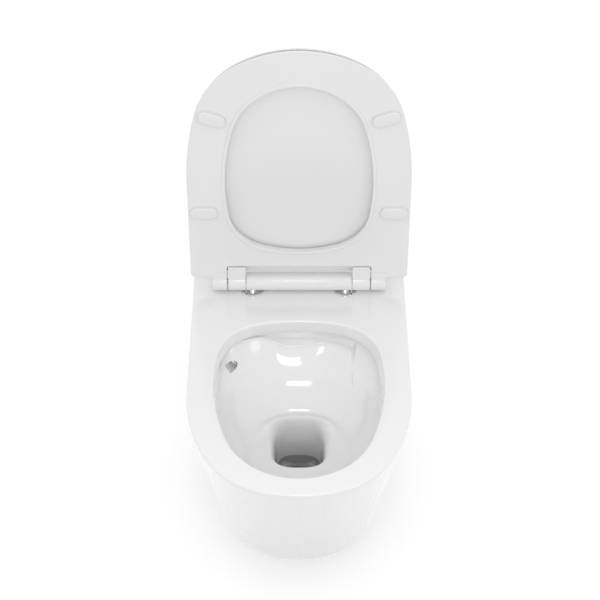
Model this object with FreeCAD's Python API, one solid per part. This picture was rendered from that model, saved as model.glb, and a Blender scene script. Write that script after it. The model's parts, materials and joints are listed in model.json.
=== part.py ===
"""Rimless wall hung toilet with a soft-close seat and lid, both standing raised.

Row frame, millimetres: +X to the right seen from the front, +Y towards the wall, +Z up.
The wall plane is Y = 0 and the line through the two fixing studs is Z = 0, midway at X = 0.
The seat and the lid are drawn shut in a frame of their own on the hinge axis
(x across, s forward from the axis, h up from the axis) and are then raised about the axis.
"""
import FreeCAD
import Part
import math
import os

V = FreeCAD.Vector

# ------------------------------------------------------------------ driving dimensions, mm
DEPTH = 530.0            # wall to the front of the pan
HEIGHT = 345.0           # underside of the pan to its rim
RIM_Z = 90.0             # rim above the stud line
RIM_HALF = 177.0         # half width of the rim
RIM_ARCS = ((240.7, 145.1, 282.7), (10.2, 62.9))      # front, corner, side radii; headings
FOOT_ARCS = ((161.4, 127.1, 272.6), (10.2, 62.9))
FOOT_SET_BACK = 156.4    # front of the underside behind the front of the rim
RIM_EDGE_R = 3.0
FOOT_EDGE_R = 5.0

MOUTH_FRONT = 37.0       # bowl opening, measured back from the front of the rim
MOUTH_ARCS = ((118.8, 356.8, 83.0, 284.6), (68.8, 99.7, 166.2))
MOUTH_EDGE_R = 3.0
RIM_WALL = 24.0          # upright inner wall under the rim
# bowl sections: depth under the rim, front, back (from the rim front), half width, squareness
BOWL = (
    (-22.0, 31.0, 383.0, 141.0, 2.35),
    (-46.0, 33.0, 379.0, 139.0, 2.35),
    (-70.0, 42.0, 362.0, 131.0, 2.35),
    (-90.0, 57.0, 333.0, 118.0, 2.4),
    (-106.0, 76.0, 307.0, 104.0, 2.4),
    (-118.0, 94.0, 290.0, 91.0, 2.45),
    (-130.0, 112.0, 278.0, 78.0, 2.5),
    (-150.0, 158.0, 266.0, 51.0, 2.8),
)
WELL = (
    (-128.0, 182.0, 274.0, 41.0, 3.0),
    (-150.0, 184.0, 272.0, 40.0, 3.2),
    (-168.0, 188.0, 270.0, 38.5, 3.3),
    (-205.0, 193.0, 272.0, 37.5, 3.0),
    (-236.0, 200.0, 276.0, 37.0, 2.6),
)
TRAP_R = 33.0
TRAP_WALL = 8.0          # ware round the trapway
TRAP_TOP = (238.0, -228.0)                            # start of the trapway in the well's floor
TRAP_BEND = (250.0, 44.0)                             # depth where the low bend starts, its radius
TRAP_RISE = 35.0                                      # slope of the rising leg, degrees
TRAP_CREST = (-176.0, 60.0)                           # centre over the weir, radius of the crest bend
OUTLET_Z = -100.0        # outlet centre under the stud line
OUTLET_R = 51.0          # outside of the spigot
OUTLET_BORE_R = 44.0
SPIGOT = 42.0
COLLAR = 3.0             # step where the spigot leaves the ware
SOCKET_GAP = 11.0        # room round the spigot for the waste connector
INLET_Z = 35.0           # flush inlet centre above the stud line
INLET_R = 27.5           # at the wall; the socket narrows inwards by its draft
INLET_DRAFT = 0.6
INLET_DEPTH = 58.0
FLUSH_PIPE_R = 22.5
CHAMBER = (392.0, 416.0, 62.0, -70.0, -42.0)          # front, back, half width, floor, roof
JET_R = 8.0
JETS = (((-50.0, 404.0, -57.0), (-115.0, 314.0, -57.0)),)
LEDGE_TOP = -43.0
LEDGE_FOOT = -96.0
LEDGE_LIP = ((-104.0, 352.0), (-84.0, 358.0), (-50.0, 364.0), (0.0, 362.0),
             (43.0, 366.0), (68.0, 359.0), (86.0, 347.0))
LEDGE_TOE = ((-104.0, 262.0), (-84.0, 287.0), (-50.0, 312.0), (0.0, 320.0),
             (43.0, 314.0), (68.0, 300.0), (86.0, 286.0))
DECK = 24.0              # ceramic thickness behind the bowl, under the hinge
SHELL = 13.0             # outer wall of the ware
WARE = 11.0              # wall round the bowl, the well and the inlet

STUD_X = 90.0            # half of the 180 mm stud spacing
STUD_R = 6.0             # M12 wall studs
STUD_FIT = 0.25
WEB = (496.0, 522.0, 24.0)                            # front, back, half height of the stud web
SLEEVE_R = 15.0
SIDE_SCREW_R = 4.0
SIDE_HOLE_R = 11.0
CAP_FLANGE_R = 14.0

HINGE_BACK = 75.0        # hinge axis in front of the wall
HINGE_UP = 18.0          # hinge axis above the rim
KNUCKLE_R = 15.6
BAR_HALF = 87.4
LID_KNUCKLE = (88.4, 117.4)
SEAT_KNUCKLE = (119.6, 144.4)
FIXING_X = 77.5          # half of the 155 mm seat fixing spacing
FIXING_HOLE_R = 7.0
DISC_R = 20.0
BOLT_R = 4.0
BORE_R = 9.0             # bore of the hinge bar
SHAFT_R = 4.5
RUN_FIT = 0.05           # radial clearance of a turning shaft

RAISED = 94.0            # opening angle of the seat and of the lid, degrees
SEAT_UNDER = -11.0       # underside of the shut seat from the axis
SEAT_THICK = 14.0
SEAT_ARCS = ((520.0, 145.6, 684.5), (3.1, 76.9))
SEAT_FRONT = 448.4       # front of the seat from the axis
SEAT_REAR = 15.0
SEAT_DRAFT = 8.0         # how far the top of the seat stands inside its underside
HOLE_FRONT = 385.0
HOLE_ARCS = ((107.5, 381.8, 76.9, 198.7), (74.4, 99.8, 162.7))
BEAD = (5.5, 1.6)        # width and height of the bead round the opening
NOTCH = (119.0, 38.5)    # half width and depth of the notch for the lid's tabs
TAB_TOP = 37.0
LID_GAP = 2.6
LID_THICK = 13.0
LID_INSET = 9.5
LID_DRAFT = 8.0
LID_REAR = 17.2
PAD_LONG, PAD_WIDE = 44.0, 21.0
PAD_GAP = 0.3            # shut seat's pads stand this far above the rim
PADS = (("front", 135.3, 328.0, 19.0), ("rear", 153.0, 149.5, 0.0))
LID_PADS = (("front", 131.0, 322.0, 19.0), ("rear", 149.0, 152.0, 0.0))

AXIS = V(0, -HINGE_BACK, RIM_Z + HINGE_UP)
OUT = "parts"
os.makedirs(OUT, exist_ok=True)


# ------------------------------------------------------------------ helpers
def at(x, u, z):
    """Point from x, the distance u behind the pan's front, and the height z above the rim."""
    return V(x, u - DEPTH, z + RIM_Z)


def save(name, shape):
    if shape.ShapeType == "Compound" and len(shape.Solids) == 1:
        shape = shape.Solids[0]
    shape.exportStep(os.path.join(OUT, name + ".step"))


def cyl(radius, start, direction, length):
    return Part.makeCylinder(radius, length, start, direction)


def box(x0, x1, y0, y1, z0, z1):
    return Part.makeBox(x1 - x0, y1 - y0, z1 - z0, V(x0, y0, z0))


def chain(radii, headings, total, inset=0.0):
    """Tangent arcs that start at (0, inset) heading along +x; list of (start, middle, end)."""
    x, y, out = 0.0, inset, []
    stops = [0.0] + [math.radians(a) for a in headings] + [math.radians(total)]
    for r, a0, a1 in zip(radii, stops[:-1], stops[1:]):
        r = r - inset

        def spot(a, r=r, a0=a0, x=x, y=y):
            return x + r * (math.sin(a) - math.sin(a0)), y + r * (math.cos(a0) - math.cos(a))
        out.append(((x, y), spot((a0 + a1) / 2), spot(a1)))
        x, y = spot(a1)
    return out


def closed(half, put, z, tail=()):
    """Wire through the half outline, its tail and their mirror image; put maps (x, y, z)."""
    edges = []
    for a, m, b in half:
        edges.append(Part.Arc(put(a[0], a[1], z), put(m[0], m[1], z), put(b[0], b[1], z)).toShape())
    last = half[-1][2]
    extra = []
    for piece in tail:
        if len(piece) == 1:
            extra.append(Part.makeLine(put(last[0], last[1], z), put(piece[0][0], piece[0][1], z)))
        else:
            m, b = piece
            extra.append(Part.Arc(put(last[0], last[1], z), put(m[0], m[1], z),
                                  put(b[0], b[1], z)).toShape())
        last = piece[-1]
    right = edges + extra
    left = [e.mirror(V(0, 0, 0), V(1, 0, 0)) for e in reversed(right)]
    middle = []
    if abs(last[0]) > 1e-6:
        middle = [Part.makeLine(put(last[0], last[1], z), put(-last[0], last[1], z))]
    return Part.Wire(Part.__sortEdges__(right + middle + left))


def pan_outline(arcs, set_back, z, back=DEPTH, inset=0.0):
    half = chain(arcs[0], arcs[1], 90.0, inset)
    end = half[-1][2]
    return closed(half, lambda x, y, zz: at(x, y + set_back, zz), z, (((end[0], back - set_back),),))


def oval(z, front, back, half, power, count=32):
    """Smooth closed section of the bowl: a squared oval through evenly turned points."""
    mid, reach = (front + back) / 2, (back - front) / 2
    pts = []
    for i in range(count):
        a = 2 * math.pi * i / count
        c, s = math.cos(a), math.sin(a)
        pts.append(at(half * math.copysign(abs(c) ** (2 / power), c),
                      mid + reach * math.copysign(abs(s) ** (2 / power), s), z))
    curve = Part.BSplineCurve()
    curve.interpolate(pts, PeriodicFlag=True)
    return Part.Wire(curve.toShape())


def rounded(shape, radius, pick):
    edges = [e for e in shape.Edges if pick(e)]
    return shape.makeFillet(radius, edges)


def edge_at(axis, value, tol=1e-4):
    """Test for edges lying wholly in one plane square to an axis."""
    def test(e):
        b = e.BoundBox
        low, high = (b.XMin, b.XMax) if axis == 0 else (b.YMin, b.YMax) if axis == 1 else (b.ZMin, b.ZMax)
        return abs(low - value) < tol + 1e-3 and abs(high - value) < tol + 1e-3
    return test


# ------------------------------------------------------------------ the pan
def mouth(z, inset=0.0):
    half = chain(MOUTH_ARCS[0], MOUTH_ARCS[1], 180.0, inset)
    back = half[-1][2][1]
    a, m, _ = half[-1]
    half[-1] = (a, m, (0.0, back))
    return closed(half, lambda x, y, zz: at(x, y + MOUTH_FRONT, zz), z)


def trap(radius=TRAP_R):
    """Round passage: down out of the well, round the low bend, up the rising leg, over the weir."""
    u, z = TRAP_TOP
    depth, r = TRAP_BEND
    crest, rc = TRAP_CREST
    a = math.radians(TRAP_RISE)
    c = (u + r, -depth)
    low = (c[0] + r * math.cos(math.radians(225)), c[1] + r * math.sin(math.radians(225)))
    foot = (c[0] + r * math.sin(a), c[1] - r * math.cos(a))
    rise = (crest - foot[1] - rc * (1 - math.cos(a))) / math.sin(a)
    head = (foot[0] + rise * math.cos(a), foot[1] + rise * math.sin(a))
    end = (head[0] + rc * math.sin(a), crest)
    mid = (end[0] - rc * math.sin(a / 2), crest - rc * (1 - math.cos(a / 2)))
    path = Part.Wire([
        Part.makeLine(at(0, u, z), at(0, u, -depth)),
        Part.Arc(at(0, u, -depth), at(0, *low), at(0, *foot)).toShape(),
        Part.makeLine(at(0, *foot), at(0, *head)),
        Part.Arc(at(0, *head), at(0, *mid), at(0, *end)).toShape(),
        Part.makeLine(at(0, *end), at(0, end[0] + 6.0, crest)),
    ])
    ring = Part.Face(Part.Wire(Part.makeCircle(radius, at(0, u, z), V(0, 0, 1))))
    return path.makePipe(ring)


def ledge():
    """Covered channel round the back of the bowl; the flush jet opens in its left end."""
    rings = []
    for line, z in ((LEDGE_TOE, LEDGE_FOOT), (LEDGE_LIP, LEDGE_TOP)):
        front = Part.BSplineCurve()
        front.interpolate([at(x, u, z) for x, u in line])
        corners = [line[-1], (90.0, 410.0), (-160.0, 410.0), (-160.0, 318.0), line[0]]
        sides = [Part.makeLine(at(p[0], p[1], z), at(q[0], q[1], z))
                 for p, q in zip(corners[:-1], corners[1:])]
        rings.append(Part.Wire([front.toShape()] + sides))
    return Part.makeLoft(rings, True, True)


def grown(section, by, drop=0.0):
    z, front, back, half, power = section
    return z + drop, front - by, back + by, half + by, power


def hollow():
    """Space inside the ware, open at the wall: the shell's inside less bowl, well, trap and inlet."""
    inner = Part.makeLoft([pan_outline(RIM_ARCS, 0.0, -DECK, DEPTH + 1, SHELL),
                           pan_outline(FOOT_ARCS, FOOT_SET_BACK, -HEIGHT + SHELL, DEPTH + 1, SHELL)],
                          True, True)
    wall = [grown(s, WARE, -WARE if i == len(BOWL) - 1 else 0.0) for i, s in enumerate(BOWL)]
    wall[0] = (-10.0,) + wall[0][1:]
    inner = inner.cut(Part.makeLoft([oval(*s) for s in wall], True, False))
    inner = inner.cut(Part.makeLoft([oval(*grown(s, WARE)) for s in WELL], True, False))
    inner = inner.cut(trap(TRAP_R + TRAP_WALL))
    inner = inner.cut(cyl(OUTLET_R, V(0, -SPIGOT - 1.0, OUTLET_Z), V(0, 1, 0), SPIGOT + 5.0))
    inner = inner.cut(cyl(OUTLET_R + COLLAR, V(0, -90.0, OUTLET_Z), V(0, 1, 0), 90.0 - SPIGOT))
    front, rear, half, floor, roof = CHAMBER
    inner = inner.cut(box(-half - WARE, half + WARE, front - 30.0 - DEPTH, rear + WARE - DEPTH,
                          floor - WARE + RIM_Z, RIM_Z))
    reach = INLET_R + WARE
    inner = inner.cut(box(-reach, reach, front - DEPTH, 2.0, INLET_Z - reach, RIM_Z))
    for start, end in JETS:
        along = at(*end).sub(at(*start))
        inner = inner.cut(cyl(JET_R + 7.0, at(*start), along, along.Length))
    inner = inner.cut(box(-200, 200, WEB[0] - DEPTH, WEB[1] - DEPTH, -WEB[2], WEB[2]))
    return inner


def inlet_plug(front, rear):
    """Slightly conical inside of the flush inlet's socket between two depths from the wall."""
    slope = INLET_DRAFT / INLET_DEPTH
    return Part.makeCone(INLET_R + front * slope, INLET_R + rear * slope, rear - front,
                         V(0, front, INLET_Z), V(0, 1, 0))


def wall_half(z):
    """Half width of the pan behind its curved front, at a height under the rim."""
    foot = chain(FOOT_ARCS[0], FOOT_ARCS[1], 90.0)[-1][2][0]
    return RIM_HALF + (foot - RIM_HALF) * (-z / HEIGHT)


def side_frame(side):
    """Place on the outer wall at the stud height, and the wall's outward normal there."""
    tilt = math.atan2(wall_half(0) - wall_half(-HEIGHT), HEIGHT)
    half = wall_half(-RIM_Z)
    return V(side * half, sum(WEB[:2]) / 2 - 21.0 - DEPTH, 0), V(side * math.cos(tilt), 0, -math.sin(tilt))


def make_pan():
    body = Part.makeLoft([pan_outline(RIM_ARCS, 0.0, 0.0, DEPTH + 5.0),
                          pan_outline(FOOT_ARCS, FOOT_SET_BACK, -HEIGHT, DEPTH + 5.0)], True, True)
    body = rounded(body, RIM_EDGE_R, lambda e: edge_at(2, RIM_Z)(e) and e.BoundBox.YMax < -1e-3
                   or (edge_at(2, RIM_Z)(e) and e.BoundBox.YLength > 5))
    body = rounded(body, FOOT_EDGE_R, lambda e: edge_at(2, RIM_Z - HEIGHT)(e) and e.BoundBox.YLength > 0.5)
    body = body.cut(box(-300, 300, 0.0, 20.0, -400, 200))       # one flat face to the wall
    throat = Part.Face(mouth(-RIM_WALL)).extrude(V(0, 0, RIM_WALL + 5.0))
    bowl = Part.makeLoft([oval(*s) for s in BOWL], True, False)
    well = Part.makeLoft([oval(*s) for s in WELL], True, False)
    body = body.cut(hollow())
    body = body.cut(throat).cut(bowl)
    body = body.fuse(ledge().common(bowl))
    body = body.cut(well).cut(trap())
    back = V(0, 1, 0)
    body = body.cut(cyl(OUTLET_R + SOCKET_GAP, V(0, -SPIGOT, OUTLET_Z), back, SPIGOT + 1).cut(
        cyl(OUTLET_R, V(0, -SPIGOT - 1, OUTLET_Z), back, SPIGOT + 3)))
    body = body.cut(cyl(OUTLET_BORE_R, V(0, -72.0, OUTLET_Z), back, 73.0))
    body = body.cut(inlet_plug(-INLET_DEPTH, 1.0))
    front, rear, half, floor, roof = CHAMBER
    body = body.cut(cyl(20.0, at(0, front + 4, INLET_Z - RIM_Z), back, DEPTH - front))
    body = body.cut(box(-half, half, front - DEPTH, rear - DEPTH, floor + RIM_Z, roof + RIM_Z))
    for start, end in JETS:
        along = at(*end).sub(at(*start))
        body = body.cut(cyl(JET_R, at(*start), along, along.Length))
    for side in (-1, 1):
        body = body.cut(cyl(FIXING_HOLE_R, at(side * FIXING_X, DEPTH - HINGE_BACK, 1.0), V(0, 0, -1), DECK + 10))
        body = body.cut(cyl(SLEEVE_R + 0.2, V(side * STUD_X, -60.0, 0), back, 61.0))
        spot, normal = side_frame(side)
        body = body.cut(cyl(SIDE_HOLE_R, spot.add(normal * 3.0), normal * -1.0, SHELL + 14.0))
    lip = at(0, MOUTH_FRONT, 0)
    body = rounded(body, MOUTH_EDGE_R, lambda e: edge_at(2, RIM_Z)(e) and abs(e.BoundBox.YMin) > 140
                   and e.BoundBox.XLength > 1 and e.BoundBox.YMax < -146 and inside_mouth(e, lip))
    return body.removeSplitter()


def inside_mouth(e, lip):
    b = e.BoundBox
    return b.YMin > lip.y - 0.5 and max(abs(b.XMin), abs(b.XMax)) < 136


# ------------------------------------------------------------------ seat and lid
def raised(shape):
    """From the hinge frame with the piece shut to the row frame with the piece raised."""
    shape = shape.copy()
    shape.translate(AXIS)
    shape.rotate(AXIS, V(1, 0, 0), -RAISED)
    return shape


def hinge_frame(x, y, z):
    return V(x, -(SEAT_FRONT - y), z)


def plate_wire(inset, rear, h, corner):
    """D outline of the seat or lid: arcs, straight side, rounded rear corner."""
    half = chain(SEAT_ARCS[0], SEAT_ARCS[1], 90.0, inset)
    w = half[-1][2][0]
    y_rear = SEAT_FRONT - rear
    q = corner * (1 - math.sqrt(0.5))
    tail = (((w, y_rear - corner),),
            ((w - q, y_rear - q), (w - corner, y_rear)))
    return closed(half, hinge_frame, h, tail)


def hole_wire(inset, h):
    half = chain(HOLE_ARCS[0], HOLE_ARCS[1], 180.0, inset)
    a, m, b = half[-1]
    half[-1] = (a, m, (0.0, b[1]))
    return closed(half, lambda x, y, z: V(x, -(HOLE_FRONT - y), z), h)


def capsule(length, width, h0, h1, x, s, turn, edge):
    """Oblong pad with round ends, standing between two heights, its crown rounded."""
    r, reach = width / 2, (length - width) / 2
    pts = [V(-reach, -r, 0), V(reach, -r, 0), V(reach, r, 0), V(-reach, r, 0)]
    wire = Part.Wire([Part.makeLine(pts[0], pts[1]),
                      Part.Arc(pts[1], V(reach + r, 0, 0), pts[2]).toShape(),
                      Part.makeLine(pts[2], pts[3]),
                      Part.Arc(pts[3], V(-reach - r, 0, 0), pts[0]).toShape()])
    pad = Part.Face(wire).extrude(V(0, 0, h1 - h0))
    pad = rounded(pad, edge, edge_at(2, 0.0))
    pad.rotate(V(0, 0, 0), V(0, 0, 1), turn)
    pad.translate(V(x, -s, h0))
    return pad


def knuckle(x0, x1, fillet=0.0):
    out = cyl(KNUCKLE_R, V(x0, 0, 0), V(1, 0, 0), x1 - x0)
    if fillet:
        outer = x1 if abs(x1) > abs(x0) else x0
        out = rounded(out, fillet, edge_at(0, outer))
    return out


def span(pair, side):
    return (pair[0], pair[1]) if side > 0 else (-pair[1], -pair[0])


def make_seat():
    top = SEAT_UNDER + SEAT_THICK
    plate = Part.makeLoft([plate_wire(0.0, SEAT_REAR, SEAT_UNDER, 9.0),
                           plate_wire(SEAT_DRAFT, SEAT_REAR + 1.0, top, 9.0)], True, True)
    plate = rounded(plate, 1.5, edge_at(2, SEAT_UNDER))
    plate = rounded(plate, 3.0, edge_at(2, top))
    bead = Part.Face(hole_wire(-BEAD[0], SEAT_UNDER - BEAD[1])).extrude(V(0, 0, BEAD[1] + 2.0))
    bead = rounded(bead, 1.4, edge_at(2, SEAT_UNDER - BEAD[1]))
    plate = plate.fuse(bead)
    hole = Part.makeLoft([hole_wire(0.0, SEAT_UNDER - BEAD[1] - 1.0), hole_wire(-2.0, top + 1.0)], True, True)
    plate = plate.cut(hole)
    half, deep = NOTCH
    plate = plate.cut(box(-half, half, -deep, 0, -40, 40))
    for side in (-1, 1):
        x0, x1 = span(SEAT_KNUCKLE, side)
        tab = box(x0, x1, -26.0, 0, SEAT_UNDER - 1.0, 4.0)
        tab = rounded(tab, 0.8, lambda e: abs(e.BoundBox.YMin + 26.0) < 0.01 and e.BoundBox.YLength < 0.01
                      and e.BoundBox.ZMax < SEAT_UNDER)
        plate = plate.fuse(knuckle(x0, x1, 2.5)).fuse(tab)
        inner = side * SEAT_KNUCKLE[0]
        plate = plate.cut(cyl(SHAFT_R, V(inner, 0, 0), V(side, 0, 0), 20.0))
    return plate.removeSplitter()


def make_lid():
    under = SEAT_UNDER + SEAT_THICK + LID_GAP
    plate = Part.makeLoft([plate_wire(LID_INSET, LID_REAR, under, 9.0),
                           plate_wire(LID_INSET + LID_DRAFT, LID_REAR + 1.0, under + LID_THICK, 9.0)],
                          True, True)
    plate = rounded(plate, 1.2, edge_at(2, under))
    plate = rounded(plate, 4.0, edge_at(2, under + LID_THICK))
    for side in (-1, 1):
        x0, x1 = span(LID_KNUCKLE, side)
        tab = box(x0, x1, -TAB_TOP, 0, SEAT_UNDER, under + 6.0)
        nose = cyl(KNUCKLE_R + 6, V(x0, 0, 0), V(1, 0, 0), x1 - x0)
        tab = tab.common(nose.fuse(box(x0, x1, -60, -4, -30, 30)))
        plate = plate.fuse(knuckle(x0, x1)).fuse(tab)
    plate = plate.cut(cyl(6.5, V(-LID_KNUCKLE[1] - 1, 0, 0), V(1, 0, 0), 31.0))
    plate = plate.cut(cyl(SHAFT_R, V(LID_KNUCKLE[0] - 1, 0, 0), V(1, 0, 0), 15.0))
    plate = plate.cut(cyl(SHAFT_R + RUN_FIT, V(LID_KNUCKLE[0] + 13.0, 0, 0), V(1, 0, 0), 20.0))
    return plate.removeSplitter()


# ------------------------------------------------------------------ hinge hardware on the pan
def make_bar():
    bar = cyl(KNUCKLE_R, V(-BAR_HALF, 0, 0), V(1, 0, 0), 2 * BAR_HALF)
    bar = bar.cut(cyl(BORE_R, V(-BAR_HALF - 1, 0, 0), V(1, 0, 0), 2 * BAR_HALF + 2))
    for side in (-1, 1):
        bar = bar.cut(cyl(BORE_R + 0.1, V(side * FIXING_X, 0, -HINGE_UP), V(0, 0, 1), 17.0))
    bar = bar.common(box(-BAR_HALF, BAR_HALF, -20, 20, -20, 20))
    bar.translate(AXIS)
    return bar


def ring(r_out, r_in, z0, z1, x):
    """Upright ring at a seat fixing, heights measured from the rim."""
    base = at(x, DEPTH - HINGE_BACK, z0)
    out = cyl(r_out, base, V(0, 0, 1), z1 - z0)
    if r_in:
        out = out.cut(cyl(r_in, base.sub(V(0, 0, 1)), V(0, 0, 1), z1 - z0 + 2))
    return out


for name, side in (("left", -1), ("right", 1)):
    x = side * FIXING_X
    save("disc_gasket_" + name, ring(DISC_R - 1.0, BOLT_R, 0.0, 0.4, x))
    disc = ring(DISC_R, BOLT_R, 0.4, 2.0, x)
    save("hinge_disc_" + name, rounded(disc, 0.8, lambda e: e.BoundBox.XLength > 30
                                       and e.BoundBox.ZMin > RIM_Z + 1.9))
    save("hinge_post_" + name, ring(BORE_R, BOLT_R, 2.0, 8.6, x))
    bolt = ring(BOLT_R, 0, -48.0, 9.0, x).fuse(ring(6.5, 0, 8.6, 12.2, x))
    bolt = bolt.cut(ring(2.5, 0, 10.2, 13.0, x))
    save("hinge_bolt_" + name, bolt)
    bush = ring(FIXING_HOLE_R, BOLT_R, -DECK, -1.0, x).fuse(ring(11.0, BOLT_R, -DECK - 12.0, -DECK, x))
    save("expansion_bush_" + name, bush)
    nut = Part.makeCone(6.5, 9.5, 10.0, at(x, DEPTH - HINGE_BACK, -DECK - 22.0))
    nut = nut.cut(ring(BOLT_R, 0, -DECK - 23.0, -DECK, x))
    save("cone_nut_" + name, nut)

    # stud sleeve: barrel through the web, block in front of it, side screw across the block
    sx = side * STUD_X
    head = WEB[0] - DEPTH
    barrel = cyl(SLEEVE_R, V(sx, head - 1, 0), V(0, 1, 0), -head + 1)
    block = box(sx - 20.0, sx + 20.0, head - 34.0, head, -20.0, 20.0)
    block = rounded(block, 3.0, lambda e: e.BoundBox.YLength > 30)
    sleeve = barrel.fuse(block).cut(cyl(STUD_R + STUD_FIT, V(sx, head - 40, 0), V(0, 1, 0), 90.0))
    spot, normal = side_frame(side)
    sleeve = sleeve.cut(cyl(SIDE_SCREW_R, V(sx, spot.y, 0), V(side, 0, 0), 30.0))
    save("stud_sleeve_" + name, sleeve.removeSplitter())
    tip = STUD_R + STUD_FIT + 0.6
    screw = cyl(SIDE_SCREW_R, V(sx + side * tip, spot.y, 0), V(side, 0, 0), 45.0 - tip)
    screw = screw.fuse(cyl(6.5, V(sx + side * 45.0, spot.y, 0), V(side, 0, 0), 8.0))
    screw = screw.cut(Part.Face(Part.makePolygon(
        [V(sx + side * 48.0, spot.y + 3.46 * math.cos(math.radians(60 * k + 30)),
           3.46 * math.sin(math.radians(60 * k + 30))) for k in range(7)])).extrude(V(side * 8.0, 0, 0)))
    save("side_screw_" + name, screw)
    cap = cyl(CAP_FLANGE_R, spot.add(normal * 0.1), normal, 1.9)
    cap = rounded(cap, 1.2, lambda e, c=spot.add(normal * 2.0): e.Curve.TypeId == "Part::GeomCircle"
                  and e.Curve.Center.distanceToPoint(c) < 0.01)
    plug = cyl(SIDE_HOLE_R, spot.add(normal * -8.0), normal, 8.5)
    plug = plug.cut(cyl(SIDE_HOLE_R - 2.0, spot.add(normal * -9.0), normal, 9.0))
    save("side_cap_" + name, cap.fuse(plug))

save("pan", make_pan())

seal = inlet_plug(-50.0, -1.0)
seal = seal.cut(cyl(FLUSH_PIPE_R, V(0, -51.0, INLET_Z), V(0, 1, 0), 52.0))
for y in (-42.0, -30.0, -18.0):
    seal = seal.cut(cyl(FLUSH_PIPE_R + 2.2, V(0, y, INLET_Z), V(0, 1, 0), 4.0))
save("inlet_seal", seal)
save("hinge_bar", make_bar())

# dampers: case in the bar, shaft out of its open end; the left one turns the seat through the
# lid's knuckle, the right one turns the lid
for name, side in (("seat", -1), ("lid", 1)):
    case = cyl(BORE_R, V(side * 8.0, 0, 0), V(side, 0, 0), 58.0)
    case = case.cut(cyl(SHAFT_R + RUN_FIT, V(side * 30.0, 0, 0), V(side, 0, 0), 40.0))
    case.translate(AXIS)
    save(name + "_damper_case", case)
seat_shaft = cyl(SHAFT_R, V(-139.6, 0, 0), V(1, 0, 0), 107.6)
save("seat_damper_shaft", raised(seat_shaft))
lid_shaft = cyl(SHAFT_R, V(32.0, 0, 0), V(1, 0, 0), 69.4)
save("lid_damper_shaft", raised(lid_shaft))
save("hinge_pin", raised(cyl(SHAFT_R, V(102.4, 0, 0), V(1, 0, 0), 37.2)))
lid_bush = cyl(6.5, V(-LID_KNUCKLE[1], 0, 0), V(1, 0, 0), 29.0)
save("lid_bush", raised(lid_bush.cut(cyl(SHAFT_R + RUN_FIT, V(-120, 0, 0), V(1, 0, 0), 40.0))))

save("seat_ring", raised(make_seat()))
save("lid", raised(make_lid()))
for place, x, s, turn in PADS:
    for name, side in (("left", -1), ("right", 1)):
        pad = capsule(PAD_LONG, PAD_WIDE, -HINGE_UP + PAD_GAP, SEAT_UNDER, side * x, s, -side * turn, 1.5)
        save("seat_buffer_%s_%s" % (place, name), raised(pad))
for place, x, s, turn in LID_PADS:
    for name, side in (("left", -1), ("right", 1)):
        top = SEAT_UNDER + SEAT_THICK
        pad = capsule(26.0, 11.0, top + 0.1, top + LID_GAP, side * x, s, -side * turn, 0.8)
        save("lid_buffer_%s_%s" % (place, name), raised(pad))
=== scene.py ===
"""Wall hung toilet: soft-close seat and lid standing raised on a rimless ceramic pan.

Every piece is worked out in millimetres in one of two frames and then put in place in metres.
Pan frame: x to the right, u back from the front of the pan, z up from its rim.
Seat frame: x to the right, s forward from the hinge axis, h up from it, with the seat shut.
"""
import json
import math

import bmesh
import bpy
import numpy as np
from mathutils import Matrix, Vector
from mathutils.geometry import tessellate_polygon
from bpy.props import FloatProperty, FloatVectorProperty, IntProperty, PointerProperty


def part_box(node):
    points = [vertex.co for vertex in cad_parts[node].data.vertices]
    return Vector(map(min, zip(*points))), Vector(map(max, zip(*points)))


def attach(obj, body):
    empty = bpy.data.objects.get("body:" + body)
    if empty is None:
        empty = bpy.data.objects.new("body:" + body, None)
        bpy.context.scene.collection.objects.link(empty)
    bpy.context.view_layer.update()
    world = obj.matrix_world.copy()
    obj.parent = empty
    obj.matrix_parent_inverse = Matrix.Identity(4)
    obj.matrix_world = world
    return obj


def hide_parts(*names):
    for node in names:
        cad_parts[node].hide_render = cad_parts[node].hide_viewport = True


bl_info = {
    "name": "Wall Hung Toilet",
    "version": (1, 0, 0),
    "blender": (4, 5, 0),
    "location": "3D View > Sidebar > Toilet",
    "description": "Builds the visible surfaces, finishes and stage of a wall hung toilet",
    "category": "Add Mesh",
}

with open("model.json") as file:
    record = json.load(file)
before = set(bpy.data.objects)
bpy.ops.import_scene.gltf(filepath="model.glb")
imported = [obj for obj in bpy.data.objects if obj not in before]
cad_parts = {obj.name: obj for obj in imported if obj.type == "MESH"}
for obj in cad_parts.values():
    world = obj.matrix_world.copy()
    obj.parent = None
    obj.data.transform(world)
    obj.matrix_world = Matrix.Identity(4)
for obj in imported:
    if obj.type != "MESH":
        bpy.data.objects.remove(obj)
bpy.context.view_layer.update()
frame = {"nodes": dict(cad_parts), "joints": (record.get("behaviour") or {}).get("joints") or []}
HINGE = {j["name"]: j for j in frame["joints"]}["seat_hinge"]
AXIS = np.array(HINGE["pos_m"]) * 1000.0
RAISED = math.radians(HINGE["range_deg"][1])
PAN_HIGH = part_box("pan")[1]
RIM_Z = PAN_HIGH.z * 1000.0
DEPTH = 530.0
FIXING_X = 77.5
PADS = (("front", 135.3, 328.0, 19.0), ("rear", 153.0, 149.5, 0.0))
LID_PADS = (("front", 131.0, 322.0, 19.0), ("rear", 149.0, 152.0, 0.0))


# ------------------------------------------------------------------ settings the panel shows
def length(name, text, value, low=0.0, high=2.0):
    """A length property in metres."""
    return FloatProperty(name=name, description=text, default=value, min=low, max=high,
                         unit="LENGTH", subtype="DISTANCE", precision=4)


def colour(name, text, value):
    """A colour property, linear red, green and blue."""
    return FloatVectorProperty(name=name, description=text, default=value, size=3,
                               min=0.0, max=1.0, subtype="COLOR")


def share(name, text, value):
    """A plain number from 0 to 1."""
    return FloatProperty(name=name, description=text, default=value, min=0.0, max=1.0,
                         subtype="FACTOR")


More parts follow.
